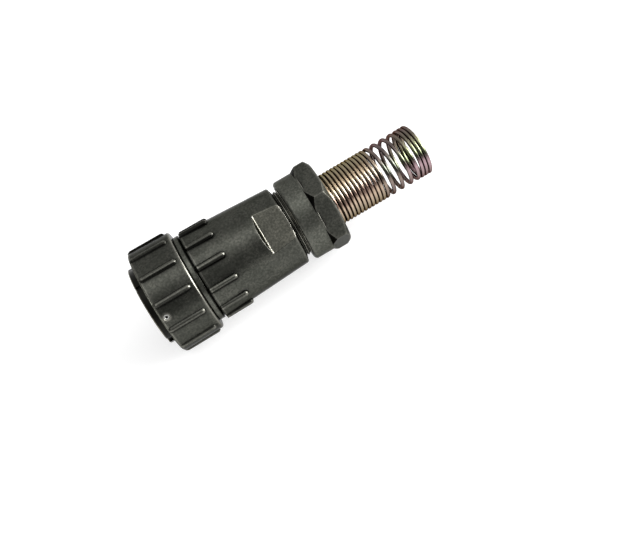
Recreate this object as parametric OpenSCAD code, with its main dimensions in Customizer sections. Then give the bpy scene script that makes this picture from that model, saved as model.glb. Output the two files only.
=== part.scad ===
// Cable plug of a circular connector with a three-pin bayonet coupling ring.
// The plug lies along +X: mating face at x = 0 on the axis, cable end towards +X, +Z up.
// Each piece is drawn around local +Z (local +Y is up) and laid down by lay().
// Angles are clockwise from the top, seen from the mating face.

/* [Mating barrel] */
// Outside radius of the keyed barrel
barrel_r = 12.3; // [11.5:0.1:13.5]
// Wall of the barrel
barrel_wall = 1.25; // [1.1:0.05:1.6]
// Barrel face to the front of the flange
barrel_len = 10.5; // [9.8:0.1:12]
// Thickness of the flange that carries the face seal
flange_t = 2.0; // [1.5:0.1:3]
// Depth of the keyways
keyway_depth = 0.75; // [0.4:0.05:0.8]
// Width of the master keyway
master_key_w = 3.4; // [2.5:0.1:4.5]
// Width of the four narrow keyways
narrow_key_w = 1.35; // [0.9:0.05:1.8]
// Narrow keyways, angles from the master keyway
key_angles = [105, 140, 215, 265]; // [0:1:359]
// Where the master keyway points
master_angle = 108; // [0:1:359]
// Depth of the insulator's face behind the barrel's face
insert_recess = 6.5; // [5:0.1:7.5]
// Length of the shell's rear thread
shell_thread_len = 8.0; // [7:0.1:9.5]

/* [Coupling ring] */
// Distance of the ring's front face behind the barrel's face
ring_setback = 2.26; // [1.5:0.02:3.5]
// Annular gap between barrel and ring that takes the mating shell
socket_gap = 2.34; // [2:0.02:3]
// Wall of the ring at its front
ring_wall = 1.66; // [1.3:0.02:2.2]
// How much slimmer the ring is at its rear
ring_taper = 0.3; // [0:0.05:0.6]
// Number of grip ribs on the ring
ring_ribs = 12; // [8:1:16]
// Radius of the ribs' round back
ring_rib_r = 1.0; // [0.7:0.05:1.3]
// How far the ribs stand out of the ring's front rim
ring_rib_h = 0.6; // [0.3:0.05:0.8]
// Thickness of the ring's inner lip
ring_lip_t = 2.14; // [1.6:0.02:3]
// Room for the wave washer between flange and lip
washer_room = 1.1; // [0.9:0.05:1.6]
// Radius of the bayonet pins
bayonet_r = 0.8; // [0.6:0.05:1]
// Distance of the bayonet pins behind the ring's front face
bayonet_setback = 1.85; // [1.5:0.05:2.6]
// How far the bayonet pins reach into the annular gap
bayonet_reach = 1.1; // [0.7:0.05:1.3]

/* [Insulators and contacts] */
// Radius of the contact pins
contact_r = 0.75; // [0.5:0.05:0.9]
// Distance of the pin tips behind the barrel's face
tip_setback = 1.2; // [0.6:0.1:2]
// Distance between contacts in a row
contact_pitch = 5.4; // [4.6:0.1:5.8]
// Distance between rows
row_pitch = 3.7; // [3.3:0.1:3.9]
// Thickness of the front insulator behind its nose
front_insulator_t = 5.1; // [4:0.1:6]
// Thickness of the rear insulator
rear_insulator_t = 5.6; // [4.5:0.1:6]
// Length of the solder cups behind the rear insulator
cup_len = 4.0; // [3:0.1:5]

/* [Backshell] */
// Length of the backshell's tapered body
backshell_len = 31.16; // [28:0.1:38]
// Wall of the neck around the shell's thread
neck_wall = 1.25; // [1:0.05:1.8]
// Length of the plain neck behind the coupling ring
neck_len = 2.1; // [1.5:0.1:3]
// Step from the neck up to the ribbed body
neck_step = 0.15; // [0.05:0.05:0.4]
// Width of the groove between neck and ribbed body
parting_groove_w = 0.5; // [0.3:0.05:0.8]
// Depth of that groove below the neck
parting_groove_depth = 0.5; // [0.3:0.05:0.8]
// Number of grip ribs on the backshell
backshell_ribs = 12; // [8:1:16]
// Radius of the ribs' round back
backshell_rib_r = 0.95; // [0.7:0.05:1.2]
// How far the ribs stand out of the body's front edge
backshell_rib_h = 0.73; // [0.4:0.01:0.8]
// Length of the ribs
backshell_rib_len = 9.16; // [7:0.1:11]
// Length of the wrench flats
flat_len = 8.8; // [5:0.1:12]
// Depth of the wrench flats below the body's rear radius
flat_depth = 1.28; // [0.6:0.02:1.6]
// Length of the slope at the front of the flats
flat_run = 0.75; // [0.2:0.05:1.2]
// Shoulder from the rear thread's crest up to the body's rear radius
rear_shoulder = 1.83; // [1.2:0.02:2.4]
// Length of the rear thread
rear_thread_len = 8.5; // [7:0.1:10]
// Pitch of the rear thread
thread_pitch = 1.0; // [0.75:0.05:1.25]
// Depth of the rear thread
thread_depth = 0.5; // [0.3:0.02:0.6]
// Wall between the grommet's seat and the thread's root
spigot_wall = 1.9; // [1.4:0.05:2.4]

/* [Cable gland] */
// Radius of the hole that grips the cable
cable_r = 5.5; // [4.5:0.1:5.8]
// Wall of the rubber grommet
grommet_wall = 2.6; // [2.2:0.05:3]
// How far the grommet's seat lies inside the tapered body
grommet_seat_depth = 2.7; // [1.5:0.1:5]
// How far the grommet stands out of the rear thread
grommet_proud = 1.0; // [0.6:0.05:1.6]
// Thickness of the thrust washer
thrust_washer_t = 1.0; // [0.8:0.05:1.5]
// Gap between backshell and gland nut
nut_gap = 1.9; // [0.8:0.05:2.4]
// Wall of the nut's round collar outside its thread
collar_wall = 2.14; // [1.6:0.02:2.8]
// Length of the nut's round collar
collar_len = 6.2; // [4.5:0.05:8]
// Radius of the collar's front corner
collar_corner = 1.0; // [0.4:0.05:1.4]
// How far the hexagon's corners stay inside the backshell's ribs
hex_inset = 0.25; // [0:0.05:1]
// Rear wall of the nut that traps the spring
nut_rear_t = 1.65; // [1.2:0.05:2.2]

/* [Strain relief spring] */
// Mean radius of the coil
spring_r = 7.5; // [7:0.05:7.6]
// Wire diameter
wire_d = 1.17; // [0.9:0.01:1.3]
// Least room between close turns
coil_gap = 0.02; // [0.02:0.01:0.08]
// How much wider the first turn is, so that the nut traps it
base_flare = 1.2; // [0.9:0.05:1.3]
// Number of turns
turns = 21.9; // [17:0.1:24]
// Turn at which the coil starts to open
open_from = 14.6; // [8:0.1:15]
// Number of turns over which the coil opens and closes again
open_turns = 4.8; // [4:0.1:7]
// Length that the opened turns add
open_extra = 5.75; // [3:0.05:8]
// Angle of the wire's first end
coil_start_angle = 176; // [0:1:359]
// How far the free turns lean rearwards
coil_lean = 5.4; // [0:0.1:5.5]
// Side towards which they lean
coil_lean_angle = 42; // [0:1:359]

/* [Fits] */
// Radial clearance of a turning fit
running_fit = 0.08; // [0.03:0.01:0.1]
// Radial clearance between pieces that are fixed together
seat_fit = 0.05; // [0.02:0.01:0.1]
// Axial clearance between a turning and a fixed face
side_play = 0.1; // [0.1:0.05:0.3]
// Clearance around loose and soft pieces
loose_fit = 0.1; // [0.05:0.01:0.2]

/* [Hidden] */
$fn = 96;
eps = 0.01;
cut = 1;
edge = 0.4;
corner = 0.7;

// Coupling ring, from the barrel outwards and from the flange rearwards
ring_bore_r = barrel_r + socket_gap;
ring_front_r = ring_bore_r + ring_wall;
ring_rear_r = ring_front_r - ring_taper;
ring_rib_centre = ring_front_r + ring_rib_h - ring_rib_r;
rib_lead = 0.1;
rib_slant = 0.9;
ring_rib_end_margin = 1.35;
flange_back = barrel_len + flange_t;
lip_front = flange_back + washer_room;
ring_rear = lip_front + ring_lip_t;
ring_rib_front = ring_setback + rib_lead;
ring_rib_len = ring_rear - ring_rib_end_margin - ring_rib_front;
ring_rib_tilt = atan(ring_taper / (ring_rear - ring_setback)) / 2;
ring_rest_angle = 180 - 180 / ring_ribs;
bayonet_angle = ring_rest_angle + 180 / ring_ribs;
bayonet_z = ring_setback + bayonet_setback;
bayonet_sink = 0.15;
bayonet_seat_r = bayonet_r + seat_fit / 2;
bayonet_hole_r = bayonet_r * 0.55;
bayonet_hole_depth = 1.0;

// Front shell
bearing_r = barrel_r + 0.3;
lip_bore_r = bearing_r + running_fit;
flange_r = ring_bore_r - 4 * loose_fit;
shell_thread_r = bearing_r - 0.1;
barrel_bore_r = barrel_r - barrel_wall;
backshell_front = ring_rear + side_play;
shell_rear = backshell_front + shell_thread_len;

// Insulators: the nose looks through a keyed inner lip of the shell
nose_proud = 0.4;
seat_lip_t = 1.0;
seat_lip_h = 0.5;
insert_key_w = 1.2;
insert_key_h = 0.6;
insert_key_len = 0.7;
insert_key_inset = 0.1;
insert_lip_front = insert_recess + nose_proud;
insert_lip_back = insert_lip_front + seat_lip_t;
lip_inner_r = barrel_bore_r - seat_lip_h;
nose_r = lip_inner_r - loose_fit;
insulator_r = barrel_bore_r - loose_fit;
insulator_split = insert_lip_back + front_insulator_t;
insulator_back = insulator_split + rear_insulator_t;
retaining_ring_t = 1.5;
retaining_ring_w = 1.5;
spanner_slot_w = 2.0;

// Contacts: rows counted from the master keyway, right to left seen from the mating face
contact_rows = [2, 3, 4, 3, 2];
contact_hole_r = contact_r + seat_fit;
contact_collar_r = contact_r + 0.45;
contact_collar_half = 1.0;
contact_tail_r = contact_r + 0.2;
cup_wall = 0.28;
cup_depth = cup_len - 0.6;
contact_places = [
    for (row = [0 : len(contact_rows) - 1])
        for (i = [0 : contact_rows[row] - 1])
            [(i - (contact_rows[row] - 1) / 2) * contact_pitch,
             ((len(contact_rows) - 1) / 2 - row) * row_pitch]
];

// Seals and washers of the front half
face_seal_t = 1.15;
seal_groove_r = barrel_r - 0.3;
seal_groove_front = barrel_len - face_seal_t - loose_fit;
wave_count = 3;
wave_t = 0.3;
wave_steps = 48;
wave_r_in = bearing_r + 2 * loose_fit;
wave_r_out = flange_r - 2 * loose_fit;
gasket_t = 1.0;
gasket_w = 1.2;

// Backshell
shell_bore_r = shell_thread_r + seat_fit;
neck_r = shell_bore_r + neck_wall;
body_front = backshell_front + neck_len;
body_front_r = neck_r + neck_step;
body_back = backshell_front + backshell_len;
grommet_r = cable_r + grommet_wall;
grommet_seat_r = grommet_r + loose_fit;
thread_root_r = grommet_seat_r + spigot_wall;
thread_crest_r = thread_root_r + thread_depth;
body_back_r = thread_crest_r + rear_shoulder;
flat_distance = body_back_r - flat_depth;
body_slope = (body_front_r - body_back_r) / (body_back - body_front);
backshell_rib_centre = body_front_r + backshell_rib_h - backshell_rib_r;
backshell_rib_tilt = atan(body_slope) / 4;
backshell_rib_angle = 3;
flat_angle = 36;
gasket_seat = shell_rear + gasket_t;
seat_z = body_back - grommet_seat_depth;
seat_hole_r = cable_r + 1.1;
cavity_r = flat_distance - 1.4;
cavity_front_r = shell_bore_r - 1.3;
cavity_cone_len = 5.0;
thread_end = body_back + rear_thread_len;
thread_runout = 0.5;

// Cable gland, stacked behind the rear thread
grommet_end = thread_end + grommet_proud;
washer_back = grommet_end + thrust_washer_t;
nut_front = body_back + nut_gap;
nut_thread_r = thread_crest_r + running_fit;
thrust_washer_r = thread_crest_r - 4 * loose_fit;
thrust_washer_hole_r = cable_r + 0.9;
collar_r = nut_thread_r + collar_wall;
wire_r = wire_d / 2;
wire_sides = 8;
coil_steps = 18;
lean_step = spring_r * tan(coil_lean / open_from);
coil_pitch = wire_d + coil_gap + lean_step;
spring_bore_r = spring_r + wire_r + 2 * loose_fit;
flare_r = spring_r + base_flare;
spring_room_r = flare_r + wire_r + 3 * loose_fit;
spring_front = washer_back + loose_fit / 2;
nut_wall_front = spring_front + wire_d + coil_pitch / 2;
nut_rear = nut_wall_front + nut_rear_t;
hex_front = nut_front + collar_len;
hex_corner_r = body_front_r + backshell_rib_h - hex_inset;
hex_chamfer = hex_corner_r - collar_r;
hex_rear_r = hex_corner_r * cos(30) - eps;
hex_rear_chamfer = 1.3;

CONTACTS = [for (i = [1 : len(contact_places)]) str("contact_pin_", i)];
BAYONETS = [for (i = [1 : 3]) str("bayonet_pin_", i)];

gunmetal = "#46463f";
bare_alloy = "#8b8878";
steel = "#c9c9c4";
insert_blue = "#1f4f93";
rubber_black = "#242424";
gold_zinc = "#b39a5c";

// Points of an arc, centre c, radius r, from angle a to angle b
function arc(c, r, a, b, steps = 6) =
    [for (i = [0 : steps]) c + r * [cos(a + (b - a) * i / steps), sin(a + (b - a) * i / steps)]];

// Smooth step from 0 to 1
function smooth(u) = u <= 0 ? 0 : u >= 1 ? 1 : u * u * (3 - 2 * u);

// Local axis +Z to row +X, local +Y to row +Z
module lay() { rotate([90, 0, 90]) children(); }

// Child drawn at the top, moved out to radius r and round to an angle
module at(angle, r = 0, z = 0) { rotate([0, 0, angle]) translate([0, r, z]) children(); }

module turned(points) { rotate_extrude() polygon(points); }

module tube(r_out, r_in, z0, z1) {
    turned([[r_in, z0], [r_out, z0], [r_out, z1], [r_in, z1]]);
}

// Rod with a slanted front end and a round rear end
module grip_rib(r, len, lead) {
    rotate([0, 0, -90])
        turned(concat([[0, 0], [r - lead / 2, 0], [r, lead]], arc([0, len - r], r, 0, 90, 8)));
}

module coupling_ring() {
    color(gunmetal) lay() difference() {
        union() {
            turned(concat(
                [[0, ring_setback], [ring_front_r - edge, ring_setback],
                 [ring_front_r, ring_setback + edge]],
                arc([ring_rear_r - corner, ring_rear - corner], corner, 0, 90),
                [[0, ring_rear]]));
            for (i = [0 : ring_ribs - 1])
                at(ring_rest_angle + i * 360 / ring_ribs, ring_rib_centre, ring_rib_front)
                    rotate([ring_rib_tilt, 0, 0]) grip_rib(ring_rib_r, ring_rib_len, rib_slant);
        }
        turned([[0, ring_setback - cut], [ring_bore_r + edge + cut, ring_setback - cut],
                [ring_bore_r, ring_setback + edge], [ring_bore_r, lip_front], [lip_bore_r, lip_front],
                [lip_bore_r, ring_rear + cut], [0, ring_rear + cut]]);
        for (i = [0 : 2])
            at(bayonet_angle + i * 120, barrel_r, bayonet_z)
                rotate([-90, 0, 0]) cylinder(r = bayonet_seat_r, h = socket_gap + 2 * ring_wall);
    }
}

// Steel pin with a domed inner end and a drilled outer end
module bayonet_pin(i) {
    inner = ring_bore_r - bayonet_reach;
    len = ring_front_r - bayonet_sink - inner;
    dome = bayonet_r / 4;
    color(steel) lay() at(bayonet_angle + i * 120, inner, bayonet_z) rotate([-90, 0, 0])
        turned([[0, 0], [bayonet_r - dome, 0], [bayonet_r, dome], [bayonet_r, len],
                [bayonet_hole_r, len], [bayonet_hole_r, len - bayonet_hole_depth],
                [0, len - bayonet_hole_depth - bayonet_hole_r / 2]]);
}

module keyway(angle, width) {
    at(angle, barrel_r - keyway_depth, -cut)
        translate([-width / 2, 0, 0])
            cube([width, keyway_depth + cut, cut + seal_groove_front + loose_fit / 2]);
}

module front_shell() {
    color(bare_alloy) lay() difference() {
        union() {
            turned([[barrel_bore_r, 0], [barrel_r - edge / 2, 0], [barrel_r, edge / 2],
                    [barrel_r, seal_groove_front], [seal_groove_r, seal_groove_front],
                    [seal_groove_r, barrel_len], [flange_r, barrel_len], [flange_r, flange_back],
                    [bearing_r, flange_back], [bearing_r, backshell_front],
                    [shell_thread_r, backshell_front], [shell_thread_r, shell_rear - edge],
                    [shell_thread_r - edge, shell_rear], [barrel_bore_r, shell_rear],
                    [barrel_bore_r, insert_lip_back], [lip_inner_r, insert_lip_back],
                    [lip_inner_r, insert_lip_front], [barrel_bore_r, insert_lip_front]]);
            at(master_angle, lip_inner_r - insert_key_h, insert_lip_front + insert_key_inset)
                translate([-insert_key_w / 2, 0, 0])
                    cube([insert_key_w, insert_key_h + seat_lip_h / 2, insert_key_len]);
        }
        keyway(master_angle, master_key_w);
        for (a = key_angles) keyway(master_angle + a, narrow_key_w);
    }
}

module contact_holes(z0, z1, r) {
    for (p = contact_places)
        at(master_angle) translate([p[0], p[1], z0]) cylinder(r = r, h = z1 - z0);
}

module front_insulator() {
    color(insert_blue) lay() difference() {
        turned([[0, insert_recess], [nose_r - edge / 2, insert_recess], [nose_r, insert_recess + edge / 2],
                [nose_r, insert_lip_back], [insulator_r, insert_lip_back],
                [insulator_r, insulator_split], [0, insulator_split]]);
        contact_holes(insert_recess - cut, insulator_split + cut, contact_hole_r);
        contact_holes(insulator_split - contact_collar_half, insulator_split + cut,
                      contact_collar_r + seat_fit);
        at(master_angle, lip_inner_r - insert_key_h - seat_fit, insert_recess - cut)
            translate([-insert_key_w / 2 - seat_fit, 0, 0])
                cube([insert_key_w + 2 * seat_fit, insert_key_h + seat_lip_h,
                      cut + nose_proud + insert_key_inset + insert_key_len + seat_fit]);
    }
}

module rear_insulator() {
    color(insert_blue) lay() difference() {
        tube(insulator_r, 0, insulator_split, insulator_back);
        contact_holes(insulator_split - cut, insulator_back + cut, contact_tail_r + seat_fit);
        contact_holes(insulator_split - cut, insulator_split + contact_collar_half,
                      contact_collar_r + seat_fit);
    }
}

// Threaded ring with two slots for a pin spanner
module insulator_retaining_ring() {
    back = insulator_back + retaining_ring_t;
    color(gunmetal) lay() difference() {
        tube(insulator_r, insulator_r - retaining_ring_w, insulator_back, back);
        translate([-spanner_slot_w / 2, -barrel_r, back - retaining_ring_t / 2])
            cube([spanner_slot_w, 2 * barrel_r, retaining_ring_t]);
    }
}

// Turned pin: round tip, collar between the insulators, solder cup at the rear
module contact_pin(i) {
    p = contact_places[i];
    collar_front = insulator_split - contact_collar_half + seat_fit;
    collar_back = insulator_split + contact_collar_half - seat_fit;
    back = insulator_back + cup_len;
    color(steel) lay() at(master_angle) translate([p[0], p[1], 0]) difference() {
        turned(concat(
            arc([0, tip_setback + contact_r], contact_r, -90, 0),
            [[contact_r, collar_front], [contact_collar_r, collar_front],
             [contact_collar_r, collar_back], [contact_tail_r, collar_back],
             [contact_tail_r, back], [contact_tail_r - cup_wall, back],
             [contact_tail_r - cup_wall, back - cup_depth], [0, back - cup_depth - contact_tail_r / 2]]));
        translate([-contact_tail_r, contact_tail_r / 4, back - cup_depth / 2])
            cube([2 * contact_tail_r, contact_tail_r, cup_depth]);
    }
}

module face_seal() {
    color(rubber_black) lay()
        tube(flange_r, seal_groove_r + seat_fit, barrel_len - face_seal_t, barrel_len);
}

// Spring washer with three waves, as a closed strip of four-cornered sections
module wave_washer() {
    amplitude = (washer_room - wave_t) / 2 - seat_fit;
    middle = flange_back + washer_room / 2;
    points = [
        for (i = [0 : wave_steps - 1])
            let (a = 360 * i / wave_steps, z = middle + amplitude * sin(wave_count * a))
                each [for (q = [[wave_r_in, -1], [wave_r_out, -1], [wave_r_out, 1], [wave_r_in, 1]])
                    [q[0] * cos(a), q[0] * sin(a), z + q[1] * wave_t / 2]]
    ];
    faces = [
        for (i = [0 : wave_steps - 1])
            let (n = (i + 1) % wave_steps)
                for (k = [0 : 3])
                    let (m = (k + 1) % 4)
                        each [[4 * i + k, 4 * n + k, 4 * i + m], [4 * i + m, 4 * n + k, 4 * n + m]]
    ];
    color(steel) lay() polyhedron(points, faces);
}

// Outline of a fine external thread, as rows of ridges
function thread_ridges(root, crest, z0, z1, pitch) = [
    for (i = [0 : floor((z1 - z0) / pitch) - 1])
        each [[root, z0 + i * pitch], [crest, z0 + (i + 0.4) * pitch],
              [crest, z0 + (i + 0.6) * pitch]]
];

module backshell_outside() {
    groove_r = neck_r - parting_groove_depth;
    groove_front = body_front - parting_groove_w;
    turned(concat(
        [[0, backshell_front], [neck_r - edge / 4, backshell_front], [neck_r, backshell_front + edge / 4],
         [neck_r, groove_front], [groove_r, groove_front], [groove_r, body_front],
         [body_front_r, body_front]],
        arc([body_back_r - corner, body_back - corner], corner, 0, 90),
        thread_ridges(thread_root_r, thread_crest_r, body_back + thread_runout, thread_end - thread_runout,
                      thread_pitch),
        [[thread_root_r, thread_end - thread_runout], [thread_root_r, thread_end], [0, thread_end]]));
}

module backshell_inside() {
    turned([[0, backshell_front - cut], [shell_bore_r, backshell_front - cut], [shell_bore_r, gasket_seat],
            [cavity_front_r, gasket_seat], [cavity_front_r, gasket_seat + cavity_cone_len],
            [cavity_r, seat_z - thrust_washer_t - cavity_cone_len],
            [seat_hole_r, seat_z - thrust_washer_t], [seat_hole_r, seat_z], [grommet_seat_r, seat_z],
            [grommet_seat_r, thread_end + cut], [0, thread_end + cut]]);
}

// Prism over a wrench flat, with a sloped front wall
module flat_cut() {
    reach = body_front_r;
    front = body_back - flat_len;
    rotate([90, 0, 90]) linear_extrude(2 * reach, center = true)
        polygon([[flat_distance, front + flat_run],
                 [flat_distance + reach, front + flat_run * (1 - reach / flat_depth)],
                 [flat_distance + reach, body_back + eps], [flat_distance, body_back + eps]]);
}

module backshell() {
    color(gunmetal) lay() difference() {
        union() {
            backshell_outside();
            for (i = [0 : backshell_ribs - 1])
                at(backshell_rib_angle + i * 360 / backshell_ribs, backshell_rib_centre,
                   body_front + rib_lead)
                    rotate([backshell_rib_tilt, 0, 0])
                        grip_rib(backshell_rib_r, backshell_rib_len - rib_lead, edge / 2);
        }
        backshell_inside();
        for (side = [0, 180]) at(flat_angle + side) flat_cut();
    }
}

module backshell_gasket() {
    r_out = shell_bore_r - loose_fit;
    color(rubber_black) lay() tube(r_out, r_out - gasket_w, shell_rear, gasket_seat);
}

module cable_grommet() {
    color(rubber_black) lay()
        turned([[cable_r, seat_z], [grommet_r, seat_z], [grommet_r, grommet_end - edge],
                [grommet_r - edge, grommet_end], [cable_r, grommet_end]]);
}

module thrust_washer() {
    color(steel) lay() tube(thrust_washer_r, thrust_washer_hole_r, grommet_end, washer_back);
}

module gland_nut() {
    color(gunmetal) lay() difference() {
        union() {
            turned(concat(
                [[0, nut_front]],
                arc([collar_r - collar_corner, nut_front + collar_corner], collar_corner, -90, 0),
                [[collar_r, hex_front + edge], [0, hex_front + edge]]));
            intersection() {
                translate([0, 0, hex_front])
                    cylinder(r = hex_corner_r, h = nut_rear - hex_front, $fn = 6);
                turned([[0, hex_front], [collar_r, hex_front], [hex_corner_r, hex_front + hex_chamfer],
                        [hex_corner_r, nut_rear - hex_rear_chamfer], [hex_rear_r, nut_rear],
                        [0, nut_rear]]);
            }
        }
        turned([[0, nut_front - cut], [nut_thread_r + edge + cut, nut_front - cut],
                [nut_thread_r, nut_front + edge], [nut_thread_r, washer_back + seat_fit],
                [spring_room_r, washer_back + seat_fit], [spring_room_r, nut_wall_front],
                [spring_bore_r, nut_wall_front], [spring_bore_r, nut_rear + cut], [0, nut_rear + cut]]);
    }
}

// Coil: angle, radius, lean and height of the wire's centre after t turns
function coil_angle(t) = coil_start_angle + 360 * t;
function coil_r(t) = flare_r - base_flare * smooth(t / 0.75);
function coil_opening(t) = open_extra * smooth((t - open_from) / open_turns);
function coil_shift(t) =
    coil_r(t) * tan(coil_lean * min(t / open_from, 1)) * cos(coil_angle(t) - coil_lean_angle);
function coil_z(t) = spring_front + wire_r + coil_pitch * t + coil_opening(t) + coil_shift(t);

// Wire swept along the coil as one closed skin of round sections
module strain_relief_spring() {
    steps = ceil(turns * coil_steps);
    points = [
        for (i = [0 : steps])
            let (t = turns * i / steps, a = coil_angle(t))
                for (k = [0 : wire_sides - 1])
                    let (q = 360 * k / wire_sides, r = coil_r(t) + wire_r * cos(q))
                        [-r * sin(a), r * cos(a), coil_z(t) + wire_r * sin(q)]
    ];
    skin = [
        for (i = [0 : steps - 1])
            for (k = [0 : wire_sides - 1])
                let (m = (k + 1) % wire_sides, lo = i * wire_sides, hi = lo + wire_sides)
                    each [[lo + k, hi + k, lo + m], [lo + m, hi + k, hi + m]]
    ];
    front_end = [for (k = [0 : wire_sides - 1]) k];
    rear_end = [for (k = [0 : wire_sides - 1]) (steps + 1) * wire_sides - 1 - k];
    color(gold_zinc) lay() polyhedron(points, concat([front_end], skin, [rear_end]));
}

coupling_ring();
for (i = [0 : 2]) bayonet_pin(i);
front_shell();
front_insulator();
rear_insulator();
insulator_retaining_ring();
for (i = [0 : len(CONTACTS) - 1]) contact_pin(i);
face_seal();
wave_washer();
backshell();
backshell_gasket();
cable_grommet();
thrust_washer();
gland_nut();
strain_relief_spring();
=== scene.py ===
"""Dresses the plug: plated, blasted, moulded and zinc finishes, a finely wound spring and raised contact
numbers. All places are in metres in the CAD frame: plug axis along +X, mating face at x = 0."""
import math

import bmesh
import bpy
from mathutils import Matrix, Quaternion, Vector


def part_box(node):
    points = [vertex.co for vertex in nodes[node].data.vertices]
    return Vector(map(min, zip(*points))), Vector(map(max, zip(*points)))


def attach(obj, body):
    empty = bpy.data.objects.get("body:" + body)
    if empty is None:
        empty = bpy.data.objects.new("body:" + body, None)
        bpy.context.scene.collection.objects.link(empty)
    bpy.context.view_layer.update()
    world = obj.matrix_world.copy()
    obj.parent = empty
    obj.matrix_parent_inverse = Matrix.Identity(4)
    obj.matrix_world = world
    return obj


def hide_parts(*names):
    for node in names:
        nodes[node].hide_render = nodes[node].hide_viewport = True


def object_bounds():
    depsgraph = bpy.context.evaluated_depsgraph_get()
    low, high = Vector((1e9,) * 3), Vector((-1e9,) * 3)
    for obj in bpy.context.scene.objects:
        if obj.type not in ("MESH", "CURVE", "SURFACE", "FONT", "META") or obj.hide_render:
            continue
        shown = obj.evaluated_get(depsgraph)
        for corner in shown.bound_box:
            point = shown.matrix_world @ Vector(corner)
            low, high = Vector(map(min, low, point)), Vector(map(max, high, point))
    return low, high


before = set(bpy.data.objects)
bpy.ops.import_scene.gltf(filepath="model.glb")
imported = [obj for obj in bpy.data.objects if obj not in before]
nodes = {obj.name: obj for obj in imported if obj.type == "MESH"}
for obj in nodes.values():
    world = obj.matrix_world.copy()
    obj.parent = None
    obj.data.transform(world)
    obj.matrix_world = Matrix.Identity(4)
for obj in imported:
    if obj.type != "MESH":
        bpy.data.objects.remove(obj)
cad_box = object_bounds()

MM = 0.001


def add_object(name, data):
    """A new object in the scene."""
    made = bpy.data.objects.new(name, data)
    bpy.context.scene.collection.objects.link(made)
    return made


def aim(placed, place, target, roll=0.0):
    """Stands a camera or lamp at `place`, looking at `target`."""
    facing = (target - place).to_track_quat("-Z", "Y")
    placed.location = place
    placed.rotation_mode = "QUATERNION"
    placed.rotation_quaternion = facing @ Quaternion((0, 0, 1), roll)


def clock(angle, radius=1.0, x=0.0):
    """The point at `angle` clockwise from the top, seen from the mating face."""
    return Vector((x, -radius * math.sin(angle), radius * math.cos(angle)))


# Camera, fitted to the photograph
CAMERA_PLACE = Vector((34.29, -218.54, 238.49)) * MM
CAMERA_TARGET = Vector((47.25, -13.45, -11.32)) * MM
CAMERA_ROLL = math.radians(-27.88)
CAMERA_LENS = 61.97
CAMERA_NEAR = 10 * MM


def make_camera():
    """The camera, at the photograph's viewing angle."""
    data = bpy.data.cameras.new("camera")
    data.lens = CAMERA_LENS
    data.clip_start = CAMERA_NEAR
    camera = add_object("camera", data)
    aim(camera, CAMERA_PLACE, CAMERA_TARGET, CAMERA_ROLL)
    bpy.context.scene.camera = camera


def linear(screen, tone=1.0):
    """A node's colour: an 8-bit screen colour made linear, times `tone`."""
    shares = (c / 255 for c in screen)
    light = (c / 12.92 if c < 0.04 else ((c + 0.055) / 1.055) ** 2.4 for c in shares)
    return (*(c * tone for c in light), 1)


# Sockets of a colour mix, by place, because other mixes' sockets in the node have the same names
MIX_MASK = 0
MIX_UNDER = 6
MIX_OVER = 7
MIX_RESULT = 2


class Nodes:
    """A node tree, with short calls to add and join nodes. Colours are 8-bit screen colours."""

    def __init__(self, owner):
        owner.use_nodes = True
        self.tree = owner.node_tree

    def put(self, socket, value):
        """Joins the socket to an output, or sets it to a plain value."""
        if isinstance(value, bpy.types.NodeSocket):
            self.tree.links.new(value, socket)
        else:
            socket.default_value = value

    def fill(self, node, inputs):
        """Puts values in a node's sockets by name, with _ for a space."""
        for name, value in inputs.items():
            self.put(node.inputs[name.replace("_", " ")], value)
        return node

    def add(self, kind, **inputs):
        return self.fill(self.tree.nodes.new(kind), inputs)

    def operate(self, kind, operation, a, b, result):
        node = self.add(kind)
        node.operation = operation
        self.put(node.inputs[0], a)
        self.put(node.inputs[1], b)
        return node.outputs[result]

    def math(self, operation, a, b):
        return self.operate("ShaderNodeMath", operation, a, b, "Value")

    def vector(self, operation, a, b=(0, 0, 0)):
        return self.operate("ShaderNodeVectorMath", operation, a, b, "Vector")

    def dot(self, a, b):
        return self.operate("ShaderNodeVectorMath", "DOT_PRODUCT", a, b, "Value")

    def axis(self, letter, vector):
        return self.add("ShaderNodeSeparateXYZ", Vector=vector).outputs[letter]

    def span(self, value, low, high, from_low=0.0, from_high=1.0):
        """Goes from `low` to `high` as the value goes from `from_low` to `from_high`."""
        node = self.add("ShaderNodeMapRange", Value=value, From_Min=from_low, From_Max=from_high,
                        To_Min=low, To_Max=high)
        return node.outputs["Result"]

    def rise(self, value, low, high, most=1.0):
        """A mask: 0 below `low`, and `most` above `high`."""
        return self.span(value, 0.0, most, low, high)

    def fall(self, value, low, high, most=1.0):
        """A mask: `most` below `low`, and 0 above `high`."""
        return self.span(value, most, 0.0, low, high)

    def both(self, a, b):
        """1 where both masks are 1."""
        return self.math("MULTIPLY", a, b)

    def less(self, value, mask, share=1.0):
        """`value`, brought down by `share` where the mask is 1."""
        return self.math("MULTIPLY", value, self.span(mask, 1.0, 1.0 - share))

    def average(self, a, b, share=0.5):
        """Between two values, with `share` of the second."""
        return self.add("ShaderNodeMix", A=a, B=b, Factor=share).outputs["Result"]

    def mix(self, mask, under, over):
        """`over` where the mask is 1, else `under`; each is an output or a colour."""
        node = self.add("ShaderNodeMix")
        node.data_type = "RGBA"
        self.put(node.inputs[MIX_MASK], mask)
        for place, value in ((MIX_UNDER, under), (MIX_OVER, over)):
            joined = isinstance(value, bpy.types.NodeSocket)
            self.put(node.inputs[place], value if joined else linear(value))
        return node.outputs[MIX_RESULT]

    def ramp(self, factor, *stops, tone=1.0):
        """A colour by `factor`; each stop is a place and a colour, which is taken times `tone`."""
        node = self.add("ShaderNodeValToRGB", Fac=factor)
        elements = node.color_ramp.elements
        elements.remove(elements[1])
        for i, (place, screen) in enumerate(stops):
            element = elements[0] if i == 0 else elements.new(place)
            element.position = place
            element.color = linear(screen, tone)
        return node.outputs["Color"]


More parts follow.
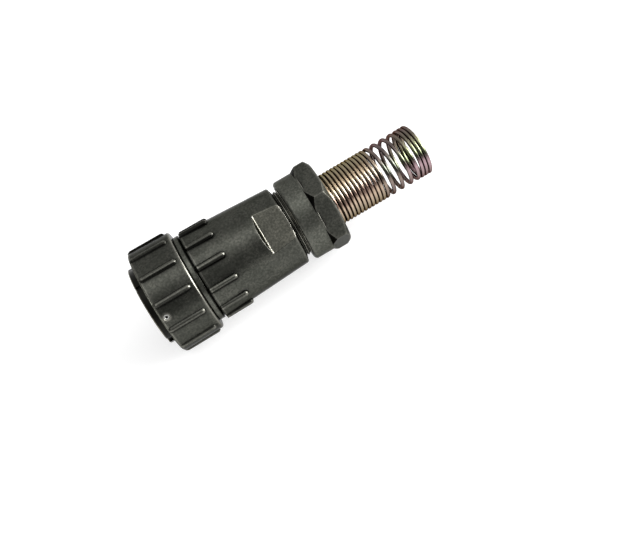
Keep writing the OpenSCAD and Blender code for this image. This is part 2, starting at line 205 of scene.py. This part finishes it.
# Rays that a corner, ridge or rounded edge is found with
RAYS = 8


class Shader(Nodes):
    """A material, with textures and masks. `place` and `normal` are in the piece's own frame."""

    def __init__(self, name):
        self.material = bpy.data.materials.new(name)
        super().__init__(self.material)
        self.surface = self.tree.nodes["Principled BSDF"]
        coordinates = self.add("ShaderNodeTexCoord").outputs
        self.place = coordinates["Object"]
        self.normal = coordinates["Normal"]
        self.x = self.axis("X", self.place)

    def set(self, **inputs):
        """Puts values in the surface's own sockets."""
        self.fill(self.surface, inputs)

    def noise(self, size, detail, stretch=(1, 1, 1)):
        """Noise whose features are about `size` metres."""
        place = self.vector("MULTIPLY", self.place, stretch)
        return self.add("ShaderNodeTexNoise", Vector=place, Scale=1 / size, Detail=detail).outputs["Fac"]

    def turning(self):
        """Fine marks of turning round an axis along X."""
        return self.noise(0.1 * MM, detail=2, stretch=(1, 0.2, 0.2))

    def bump(self, height, depth, strength, normal=None):
        node = self.add("ShaderNodeBump", Height=height, Distance=depth, Strength=strength)
        if normal is not None:
            self.put(node.inputs["Normal"], normal)
        return node.outputs["Normal"]

    def rounded(self, radius):
        """The world normal, with edges rounded to `radius`."""
        node = self.add("ShaderNodeBevel", Radius=radius)
        node.samples = RAYS
        return node.outputs["Normal"]

    def own_frame(self, normal):
        """A world normal, turned into the piece's own frame."""
        node = self.add("ShaderNodeVectorTransform", Vector=normal)
        node.vector_type = "NORMAL"
        node.convert_from = "WORLD"
        node.convert_to = "OBJECT"
        return node.outputs["Vector"]

    def open_share(self, reach, local=True, inside=False):
        """1 on open surfaces, towards 0 in corners narrower than `reach`, or inside ridges that thin."""
        node = self.add("ShaderNodeAmbientOcclusion", Distance=reach)
        node.samples = RAYS
        node.only_local = local
        node.inside = inside
        return node.outputs["AO"]

    def band(self, low, high, blur):
        """1 where x lies from `low` to `high`, fading out over `blur` on both sides."""
        return self.both(self.rise(self.x, low - blur, low), self.fall(self.x, high, high + blur))


# Dark plating: dark, mean and light colours as plated and as milled; the painted shade laid in corners; and
# the colour of ridges, partly rubbed bare and partly a painted highlight
PLATED = ((56, 57, 52), (67, 68, 63), (81, 81, 75))
MILLED = ((56, 56, 51), (67, 67, 61), (83, 82, 75))
PAINTED_SHADE = (10, 10, 9)
RUBBED_AND_SHEEN = (176, 174, 164)
PLATING_TINT = (0.45, 0.45, 0.45, 1)

# Sizes in the plating: corners with painted shade, ridges rubbed and painted with a highlight, clouds,
# specks and grain
CORNER_REACH = 1.5 * MM
RIDGE_WIDTH = 0.9 * MM
CLOUD_SIZE = 7 * MM
SPECK_SIZE = 0.6 * MM
SPECK_SHARE = 0.68
GRAIN_SIZE = 0.14 * MM
GRAIN_DEPTH = 0.010 * MM


class Plating(Shader):
    """Satin dark plating: lighter on its ridges, where it is partly rubbed bare and partly painted with a
    highlight, and painted with shade in its corners.
    `wear_and_sheen` is how bare the ridges are and how bright the highlight painted on them is, `edge` the
    radius of its edges and `rough` its roughness where it is smoothest."""

    def __init__(self, name, tone, wear_and_sheen, edge=0.4 * MM, rough=0.22):
        super().__init__(name)
        self.edge = edge
        self.rough = rough
        # painted shade: corners and narrow gaps are darkened, where shade falls
        self.corner = self.fall(self.open_share(CORNER_REACH), 0.70, 0.97)
        # ridges and edges: partly rubbed bare, partly a painted highlight
        self.ridge = self.fall(self.open_share(RIDGE_WIDTH, inside=True), 0.50, 0.92, most=wear_and_sheen)
        self.clouds = self.noise(CLOUD_SIZE, detail=4)
        self.cast = self.average(self.clouds, self.noise(SPECK_SIZE, detail=3), SPECK_SHARE)
        self.plate = self.toned(tone)

    def toned(self, tone, colours=PLATED):
        """The plating's colours, times `tone`."""
        return self.ramp(self.cast, *zip((0.37, 0.50, 0.63), colours), tone=tone)

    def cover(self, mask, plate):
        """Lays another plate over the plating where the mask is 1."""
        self.plate = self.mix(mask, self.plate, plate)

    def trailing_sides(self):
        """Painted shade: high on the clockwise side of ribs along X and beside it."""
        around = self.vector("NORMALIZE", self.vector("CROSS_PRODUCT", (1, 0, 0), self.place))
        turned = self.dot(self.own_frame(self.rounded(1.0 * MM)), around)
        return self.rise(turned, 0.10, 0.50, most=0.9)

    def finish(self, *overlays):
        """Joins it all up; each overlay is a mask and the colour that lies over the rest there."""
        # painted shade in corners lies over the ridges' rubbed colour and painted highlight
        colour = self.mix(self.corner, self.mix(self.ridge, self.plate, RUBBED_AND_SHEEN), PAINTED_SHADE)
        for mask, over in overlays:
            colour = self.mix(mask, colour, over)
        self.set(Base_Color=colour, Metallic=1.0, Specular_Tint=PLATING_TINT)
        self.set(Roughness=self.span(self.clouds, self.rough, self.rough + 0.09))
        grain = self.noise(GRAIN_SIZE, detail=2)
        self.set(Normal=self.bump(grain, depth=GRAIN_DEPTH, strength=0.5, normal=self.rounded(self.edge)))
        return self.material


# Coupling ring: how deep its rear rim's rubbing and painted highlight and its front face's blasting are
# full, and where they end
RIM_FULL = 0.3 * MM
RIM_END = 0.6 * MM
RIM_WEAR_AND_SHEEN = 0.4
BLAST_FULL = 0.2 * MM
BLAST_END = 0.45 * MM


def ring_plating(front, back):
    """The coupling ring's plating: blasted front face, rear rim rubbed and painted with a highlight,
    painted shade on the ribs' clockwise flanks.
    """
    look = Plating("ring_plating", tone=0.93, wear_and_sheen=1.0)
    out = look.vector("NORMALIZE", look.vector("MULTIPLY", look.place, (0, 1, 1)))
    # the rear rim: partly rubbed, partly a painted highlight line
    at_rim = look.rise(look.x, back - RIM_END, back - RIM_FULL, most=RIM_WEAR_AND_SHEEN)
    rim = look.both(at_rim, look.rise(look.dot(look.normal, out), 0.1, 0.4))
    look.ridge = look.math("MAXIMUM", look.ridge, rim)
    at_face = look.fall(look.x, front + BLAST_FULL, front + BLAST_END)
    blasted = look.ramp(look.noise(0.35 * MM, detail=3), (0.3, (38, 38, 32)), (0.7, (118, 119, 109)))
    # painted shade on the ribs' clockwise flanks, and the blasted front face
    return look.finish((look.trailing_sides(), PAINTED_SHADE), (at_face, blasted))


# Backshell, as in the solid: its neck and ribs from its front end, and its shoulder, where the rear thread
# starts; the milled flats in front of the shoulder, and the run of their sloped steps
NECK_LENGTH = 2.1 * MM
RIBBED_LENGTH = 15.0 * MM
BACKSHELL_LENGTH = 31.16 * MM
FLAT_LENGTH = 8.8 * MM
FLAT_RUN = 0.75 * MM
FLAT_SIDE = clock(math.radians(36))

# Its finish: the neck's rear end, painted with shade; the edge behind it, with neither rubbed colour nor
# painted highlight; and a flat's step, painted with shade and with a painted highlight line on it
NECK_END = 0.75 * MM
NO_RUB_OR_SHEEN_EDGE = 0.4 * MM
STEP_EDGE = 0.4 * MM
STEP_LINE = 0.22 * MM
STEP_SHADE = (34, 34, 31)

# Widths of crisp and soft borders between its finishes
CRISP = 0.02 * MM
SOFT = 0.05 * MM


def backshell_plating(front):
    """The backshell's plating: neck painted lighter with painted shade at its rear end, lighter milled
    flats whose steps carry painted shade and a painted highlight line, rear thread painted lighter, painted
    shade on the ribs' flanks.
    """
    look = Plating("dark_plating", tone=1.05, wear_and_sheen=0.8)
    neck_back = front + NECK_LENGTH
    shoulder = front + BACKSHELL_LENGTH
    step_front = shoulder - FLAT_LENGTH
    step_back = step_front + FLAT_RUN

    level = look.rise(look.math("POWER", look.dot(look.normal, FLAT_SIDE), 2.0), 0.972, 0.994)
    flat = look.both(level, look.band(step_back, shoulder, CRISP))
    step_zone = look.band(step_front - STEP_EDGE, step_back, CRISP)
    # painted shade on the flat's sloped step
    step = look.both(step_zone, look.rise(look.axis("X", look.normal), 0.2, 0.4))
    # painted highlight: a bright line along the step
    step_highlight = look.both(step, look.rise(look.x, step_back - STEP_LINE - SOFT, step_back - STEP_LINE))
    thread = look.rise(look.x, shoulder - SOFT, shoulder + SOFT)

    look.cover(flat, look.toned(1.5, MILLED))
    # painted light: the neck is painted lighter, to lift it out of the shade beside the ring's rim
    look.cover(look.fall(look.x, neck_back, neck_back + CRISP), look.toned(1.5))
    # painted shade on the neck's rear end, which hides a highlight there
    look.cover(look.band(neck_back - NECK_END, neck_back, SOFT), look.toned(0.35))
    # painted light: the rear thread, in the gap before the nut, is painted lighter
    look.cover(thread, look.toned(1.3))

    # no rubbed colour and no painted highlight on the edge behind the neck
    no_rub_or_sheen = look.fall(look.x, neck_back + NO_RUB_OR_SHEEN_EDGE, neck_back + NO_RUB_OR_SHEEN_EDGE + SOFT)
    look.ridge = look.less(look.less(look.ridge, no_rub_or_sheen), step_zone, share=0.7)
    # less painted corner shade on the rear thread and on the flats
    look.corner = look.less(look.less(look.corner, thread, share=0.8), flat, share=0.8)
    # painted shade on the ribs' clockwise flanks
    flank_shade = look.both(look.trailing_sides(), look.band(neck_back, front + RIBBED_LENGTH, 0.5 * MM))
    return look.finish((flank_shade, PAINTED_SHADE), (step, STEP_SHADE), (step_highlight, RUBBED_AND_SHEEN))


# Gland nut: its round collar, the reach of the hexagon's chamfer behind it, and the width of their borders
COLLAR_LENGTH = 6.2 * MM
CHAMFER_EDGE = 0.2 * MM
CHAMFER_REACH = 3 * MM
NUT_BLUR = 0.1 * MM


def nut_plating(front):
    """The gland nut's plating: the hexagon painted darker than the collar as painted shade, and painted
    shade on the chamfer behind the collar.
    """
    look = Plating("nut_plating", tone=1.55, wear_and_sheen=0.45, edge=0.18 * MM, rough=0.32)
    collar_back = front + COLLAR_LENGTH
    # painted shade: the hexagon gets a darker copy of the collar's plating
    look.cover(look.rise(look.x, collar_back - NUT_BLUR, collar_back), look.toned(1.05))
    # painted shade on the front-facing chamfer behind the collar
    facing_front = look.fall(look.axis("X", look.normal), -0.45, -0.20, most=0.95)
    behind = look.band(collar_back - CHAMFER_EDGE, collar_back + CHAMFER_REACH, NUT_BLUR)
    return look.finish((look.both(facing_front, behind), PAINTED_SHADE))


# Front shell: where the bare metal of the barrel's front face thins and ends
BARE_FULL = 0.15 * MM
BARE_END = 0.35 * MM


def shell_alloy():
    """Dark plating, with bare blasted metal on the barrel's front face."""
    look = Shader("shell_alloy")
    grain = look.noise(0.25 * MM, detail=3)
    clouds = look.noise(4 * MM, detail=4)
    bare = look.ramp(look.average(clouds, grain), (0.36, (58, 57, 48)), (0.64, (148, 144, 129)))
    dark = look.ramp(clouds, (0.3, (22, 22, 20)), (0.7, (34, 34, 31)))
    look.set(Base_Color=look.mix(look.rise(look.x, BARE_FULL, BARE_END), bare, dark), Metallic=1.0)
    look.set(Roughness=look.span(grain, 0.30, 0.46))
    look.set(Normal=look.bump(grain, depth=0.012 * MM, strength=0.6, normal=look.rounded(0.15 * MM)))
    return look.material


def moulded_blue(name, shade):
    """Cloudy blue plastic, with painted shade in its hollows and round the pins. Its blue is taken times
    `shade`.
    """
    look = Shader(name)
    clouds = look.noise(3.2 * MM, detail=4)
    grain = look.noise(0.3 * MM, detail=3)
    blue = look.ramp(clouds, (0.3, (12, 32, 56)), (0.5, (34, 76, 130)), (0.7, (78, 120, 180)), tone=shade)
    # painted shade, cast by the pins and in hollows
    hollow_shade = look.fall(look.open_share(1.4 * MM, local=False), 0.50, 0.95, most=0.75)
    look.set(Base_Color=look.mix(hollow_shade, blue, (8, 14, 26)), Specular_IOR_Level=0.15)
    look.set(Roughness=look.span(grain, 0.35, 0.55))
    look.set(Normal=look.bump(grain, depth=0.012 * MM, strength=0.5))
    return look.material


def contact_silver():
    """Bright silver with turning marks."""
    look = Shader("contact_plating")
    turning = look.turning()
    look.set(Base_Color=look.ramp(turning, (0.3, (206, 200, 186)), (0.7, (226, 222, 212))), Metallic=1.0)
    look.set(Roughness=look.span(turning, 0.14, 0.24))
    look.set(Normal=look.bump(turning, depth=0.004 * MM, strength=0.4))
    return look.material


def steel():
    """Bright turned steel, with painted shade in drilled ends."""
    look = Shader("bright_steel")
    turning = look.turning()
    metal = look.ramp(turning, (0.3, (190, 190, 186)), (0.7, (218, 218, 214)))
    # painted shade inside drilled ends and holes
    hollow_shade = look.fall(look.open_share(0.8 * MM), 0.45, 0.85, most=0.95)
    look.set(Base_Color=look.mix(hollow_shade, metal, (14, 14, 13)), Metallic=1.0)
    look.set(Roughness=look.span(turning, 0.18, 0.30))
    look.set(Normal=look.bump(turning, depth=0.004 * MM, strength=0.4, normal=look.rounded(0.12 * MM)))
    return look.material


def rubber():
    """Matt black rubber."""
    look = Shader("black_rubber")
    grain = look.noise(0.2 * MM, detail=4)
    look.set(Base_Color=look.ramp(grain, (0.3, (8, 8, 9)), (0.7, (21, 21, 22))))
    look.set(Roughness=look.span(grain, 0.50, 0.75))
    look.set(Normal=look.bump(grain, depth=0.02 * MM, strength=0.6))
    return look.material


# Zinc film: the way across the coil that its colours and a painted dark band of shade follow, and where
# along the coil they change
FILM_AND_SHADE_WAY = (0, -0.77, -0.63)
OPENED_FILM = (0.50, 0.60)
LAST_FILM = (0.75, 0.84)
GROOVE_SHADE = (26, 20, 15)
ZINC_TINT = (0.24, 0.22, 0.21, 1)


def yellow_zinc(front, back, radius):
    """Passivated zinc: brown gold on the close turns, dark mauve where opened, green to rose at the end,
    with a painted dark band of shade along one side.
    """
    look = Shader("yellow_zinc")
    clouds = look.noise(4.5 * MM, detail=2)
    streaks = look.noise(0.5 * MM, detail=2)
    across = look.span(look.dot(look.place, FILM_AND_SHADE_WAY), 0.0, 1.0, -radius, radius)
    across = look.math("ADD", across, look.span(clouds, -0.05, 0.05, 0.25, 0.75))
    along = look.span(look.x, 0.0, 1.0, front, back)
    along = look.math("ADD", along, look.span(clouds, -0.04, 0.04, 0.25, 0.75))
    # across the coil, the ramps mix the film's hues with painted light: lighter bands and a dark band of
    # painted shade
    close = look.ramp(across, (0.05, (160, 150, 124)), (0.30, (172, 152, 126)), (0.46, (180, 166, 145)),
                      (0.57, (142, 125, 112)), (0.66, (122, 101, 90)), (0.72, (124, 103, 92)),
                      (0.81, (180, 159, 139)), (0.96, (150, 137, 118)))
    opened = look.ramp(across, (0.05, (126, 112, 112)), (0.30, (106, 96, 92)), (0.52, (92, 96, 86)),
                       (0.68, (64, 62, 56)), (0.84, (132, 118, 110)), (0.96, (120, 108, 104)))
    last = look.ramp(across, (0.05, (126, 112, 108)), (0.30, (122, 118, 98)), (0.52, (124, 132, 100)),
                     (0.64, (70, 73, 58)), (0.72, (104, 90, 90)), (0.82, (166, 140, 146)),
                     (0.96, (142, 124, 124)))
    film_and_shade = look.mix(look.rise(along, *OPENED_FILM), close, opened)
    film_and_shade = look.mix(look.rise(along, *LAST_FILM), film_and_shade, last)
    # painted shade in the grooves between turns
    groove_shade = look.fall(look.open_share(0.8 * MM), 0.50, 0.97, most=0.95)
    look.set(Base_Color=look.mix(groove_shade, film_and_shade, GROOVE_SHADE), Metallic=1.0, Specular_Tint=ZINC_TINT)
    look.set(Roughness=look.span(streaks, 0.08, 0.17))
    look.set(Normal=look.bump(streaks, depth=0.006 * MM, strength=0.3))
    return look.material


def dress(material, *names):
    """Gives the named nodes a material."""
    for name in names:
        slots = nodes[name].data.materials
        slots.clear()
        slots.append(material)


def named(start):
    """The nodes whose names begin with `start`."""
    return [name for name in nodes if name.startswith(start)]


# Spring, as in the solid: turns, radii, pitch and lean of the wire's centre line
SPRING_R = 7.5 * MM
WIRE_R = 0.585 * MM
TURNS = 21.9
FLARE = 1.2 * MM
FLARE_TURNS = 0.75
OPEN_FROM = 14.6
OPEN_TURNS = 4.8
OPEN_EXTRA = 5.75 * MM
START_ANGLE = math.radians(176)
LEAN = math.radians(5.4)
LEAN_SIDE = math.radians(42)
COIL_GAP = 0.02 * MM
COIL_PITCH = 2 * WIRE_R + COIL_GAP + SPRING_R * math.tan(LEAN / OPEN_FROM)

# Its skin: radius, so that close turns touch, and fineness
WIRE_SKIN_R = 0.615 * MM
WIRE_SIDES = 20
STEPS_PER_TURN = 64
TANGENT_STEP = 1e-3


def smooth(share):
    """0 to 1, with soft ends."""
    share = min(max(share, 0.0), 1.0)
    return share * share * (3 - 2 * share)


def coil_point(turns, front):
    """The wire's centre, `turns` turns from its front end."""
    radius = SPRING_R + FLARE * (1 - smooth(turns / FLARE_TURNS))
    angle = START_ANGLE + 2 * math.pi * turns
    shift = radius * math.tan(LEAN * min(turns / OPEN_FROM, 1)) * math.cos(angle - LEAN_SIDE)
    opened = OPEN_EXTRA * smooth((turns - OPEN_FROM) / OPEN_TURNS)
    return clock(angle, radius, front + WIRE_R + COIL_PITCH * turns + opened + shift)


def wire_ring(turns, front):
    """The points of the wire's skin round its centre."""
    centre = coil_point(turns, front)
    along = coil_point(turns + TANGENT_STEP, front) - coil_point(turns - TANGENT_STEP, front)
    along.normalize()
    across = along.cross(Vector((0, centre.y, centre.z)).normalized()).normalized()
    out = across.cross(along)
    angles = [2 * math.pi * side / WIRE_SIDES for side in range(WIRE_SIDES)]
    return [centre + WIRE_SKIN_R * (math.cos(angle) * out + math.sin(angle) * across) for angle in angles]


def make_spring(material):
    """The spring's wire, as a round tube along the coil."""
    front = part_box("strain_relief_spring")[0].x
    count = round(TURNS * STEPS_PER_TURN)
    points = []
    faces = []
    for step in range(count + 1):
        points += wire_ring(TURNS * step / count, front)
    for first in range(0, count * WIRE_SIDES, WIRE_SIDES):
        for side in range(WIRE_SIDES):
            here = first + side
            beside = first + (side + 1) % WIRE_SIDES
            faces.append((here, beside, beside + WIRE_SIDES, here + WIRE_SIDES))
    faces.append(tuple(reversed(range(WIRE_SIDES))))
    faces.append(tuple(range(count * WIRE_SIDES, (count + 1) * WIRE_SIDES)))
    mesh = bpy.data.meshes.new("coil_spring")
    mesh.from_pydata(points, [], faces)
    for face in mesh.polygons[:-2]:
        face.use_smooth = True
    mesh.materials.append(material)
    spring = add_object("coil_spring", mesh)
    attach(spring, "gland_carriage")
    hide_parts("strain_relief_spring")


# Contact numbers, raised on the insert beside the pins: for each row, how many pins it has and how far the
# numbers stand from them in millimetres, away from the middle and up
ROWS = ((2, (-1.1, 1.6)), (3, (1.2, 1.5)), (4, (0.95, 1.7)), (3, (2.2, 0.7)), (2, (2.4, 0.8)))
KEYWAY_ANGLE = math.radians(108)
MIDDLE = 0.1 * MM
NUMBER_HEIGHT = 1.55 * MM
NUMBER_RISE = 0.08 * MM
NUMBER_CURVE_STEPS = 4
WELD = 0.001 * MM


def number_mesh(text):
    """A raised number, flat in X and Y."""
    curve = bpy.data.curves.new("number", "FONT")
    curve.body = text
    curve.size = NUMBER_HEIGHT
    curve.align_x = "CENTER"
    curve.align_y = "CENTER"
    curve.extrude = NUMBER_RISE
    curve.resolution_u = NUMBER_CURVE_STEPS
    holder = bpy.data.objects.new("number", curve)
    mesh = bpy.data.meshes.new_from_object(holder)
    bpy.data.objects.remove(holder)
    return mesh


def make_numbers(material):
    """All the contact numbers, as one piece."""
    up = clock(KEYWAY_ANGLE)
    right = Vector((0, -up.z, up.y))
    forward = Vector((-1, 0, 0))
    upright = Matrix((right, up, forward)).transposed().to_4x4()
    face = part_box("front_insulator")[0].x
    offsets = [offset for length, offset in ROWS for _ in range(length)]
    joined = bmesh.new()
    for number, (out, rise) in enumerate(offsets, 1):
        low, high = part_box(f"contact_pin_{number}")
        pin = (low + high) / 2
        side = -1 if pin.dot(right) < -MIDDLE else 1
        place = pin + (side * out * right + rise * up) * MM
        mesh = number_mesh(str(number))
        mesh.transform(Matrix.Translation((face, place.y, place.z)) @ upright)
        joined.from_mesh(mesh)
    bmesh.ops.remove_doubles(joined, verts=joined.verts, dist=WELD)
    mesh = bpy.data.meshes.new("contact_numbers")
    joined.to_mesh(mesh)
    mesh.materials.append(material)
    numbers = add_object("contact_numbers", mesh)
    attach(numbers, "plug_body")


# Studio: strength of its walls at the front and the back, and the share of it at the left
FRONT_GLOW = 0.36
BACK_GLOW = 0.85
LEFT_SHARE = 0.35

# Soft lamps: place, width and height in metres, and watts
LAMPS = {
    "overhead": ((0.04, -0.14, 0.90), (1.0, 0.4), 1.2),
    "overhead_wide": ((0.04, -0.13, 0.95), (1.6, 1.1), 2.6),
    "right_low": ((0.75, -0.06, 0.15), (0.90, 0.25), 7.0),
    "right_tall": ((0.72, -0.16, 0.36), (0.25, 0.60), 5.0),
    "right_front": ((0.62, -0.44, 0.48), (0.22, 0.22), 2.0),
    "front_small": ((-0.90, -0.02, 0.03), (0.08, 0.08), 0.5),
}
LAMP_TARGET = Vector((0.04, 0, 0))


def make_studio():
    """Pale walls all round, darker at the front and the left, and the lamps."""
    world = bpy.data.worlds.new("studio")
    walls = Nodes(world)
    direction = walls.add("ShaderNodeTexCoord").outputs["Generated"]
    depth = walls.span(walls.axis("Y", direction), FRONT_GLOW, BACK_GLOW, -1.0, 1.0)
    left = walls.span(walls.axis("X", direction), LEFT_SHARE, 1.0, -1.0, 0.0)
    light = {"Color": (1, 1, 1, 1), "Strength": walls.math("MULTIPLY", depth, left)}
    walls.fill(walls.tree.nodes["Background"], light)
    bpy.context.scene.world = world
    for name, (place, size, watts) in LAMPS.items():
        data = bpy.data.lights.new(name, "AREA")
        data.shape = "RECTANGLE"
        data.size, data.size_y = size
        data.energy = watts
        aim(add_object(name, data), Vector(place), LAMP_TARGET)


# Floor: half its side, the low wall round its edge, which keeps low views pale, and its paper
FLOOR_HALF = 3.0
WALL_HEIGHT = 0.6
PAPER = (0.52, 0.52, 0.52, 1)
PAPER_GLOW = 0.62


def floor_paper():
    """Paper that takes shadows, and is white to the camera and in reflections."""
    material = bpy.data.materials.new("floor")
    sheet = Nodes(material)
    sheet.tree.nodes.remove(sheet.tree.nodes["Principled BSDF"])
    rays = sheet.add("ShaderNodeLightPath").outputs
    seen = sheet.math("MAXIMUM", rays["Is Camera Ray"], rays["Is Glossy Ray"])
    seen = sheet.math("MAXIMUM", seen, rays["Is Transmission Ray"])
    paper = sheet.add("ShaderNodeBsdfDiffuse", Color=PAPER)
    glow = sheet.add("ShaderNodeEmission", Strength=sheet.math("MULTIPLY", seen, PAPER_GLOW))
    total = sheet.add("ShaderNodeAddShader")
    sheet.put(total.inputs[0], paper.outputs["BSDF"])
    sheet.put(total.inputs[1], glow.outputs["Emission"])
    sheet.put(sheet.tree.nodes["Material Output"].inputs["Surface"], total.outputs["Shader"])
    return material


def make_floor(height):
    """The floor at `height`, and its wall."""
    outline = [(FLOOR_HALF * x, FLOOR_HALF * y) for x, y in ((-1, -1), (1, -1), (1, 1), (-1, 1))]
    corners = [(x, y, z) for z in (height, height + WALL_HEIGHT) for x, y in outline]
    walls = [(i, (i + 1) % 4, (i + 1) % 4 + 4, i + 4) for i in range(4)]
    mesh = bpy.data.meshes.new("floor")
    mesh.from_pydata(corners, [], [(0, 1, 2, 3), *walls])
    mesh.materials.append(floor_paper())
    floor = add_object("floor", mesh)


make_camera()
ring_low, ring_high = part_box("coupling_ring")
spring_low, spring_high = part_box("strain_relief_spring")
dress(ring_plating(ring_low.x, ring_high.x), "coupling_ring")
dress(backshell_plating(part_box("backshell")[0].x), "backshell")
dress(Plating("inner_plating", tone=1.0, wear_and_sheen=0.6).finish(), "insulator_retaining_ring")
dress(nut_plating(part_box("gland_nut")[0].x), "gland_nut")
dress(shell_alloy(), "front_shell")
dress(moulded_blue("insert_blue", shade=1.0), "front_insulator", "rear_insulator")
dress(contact_silver(), *named("contact_pin"))
dress(steel(), "wave_washer", "thrust_washer", *named("bayonet_pin"))
dress(rubber(), "face_seal", "backshell_gasket", "cable_grommet")
make_spring(yellow_zinc(spring_low.x, spring_high.x, SPRING_R))
make_numbers(moulded_blue("number_blue", shade=0.25))
make_studio()
make_floor(cad_box[0].z)

bpy.context.scene.view_settings.view_transform = "Standard"
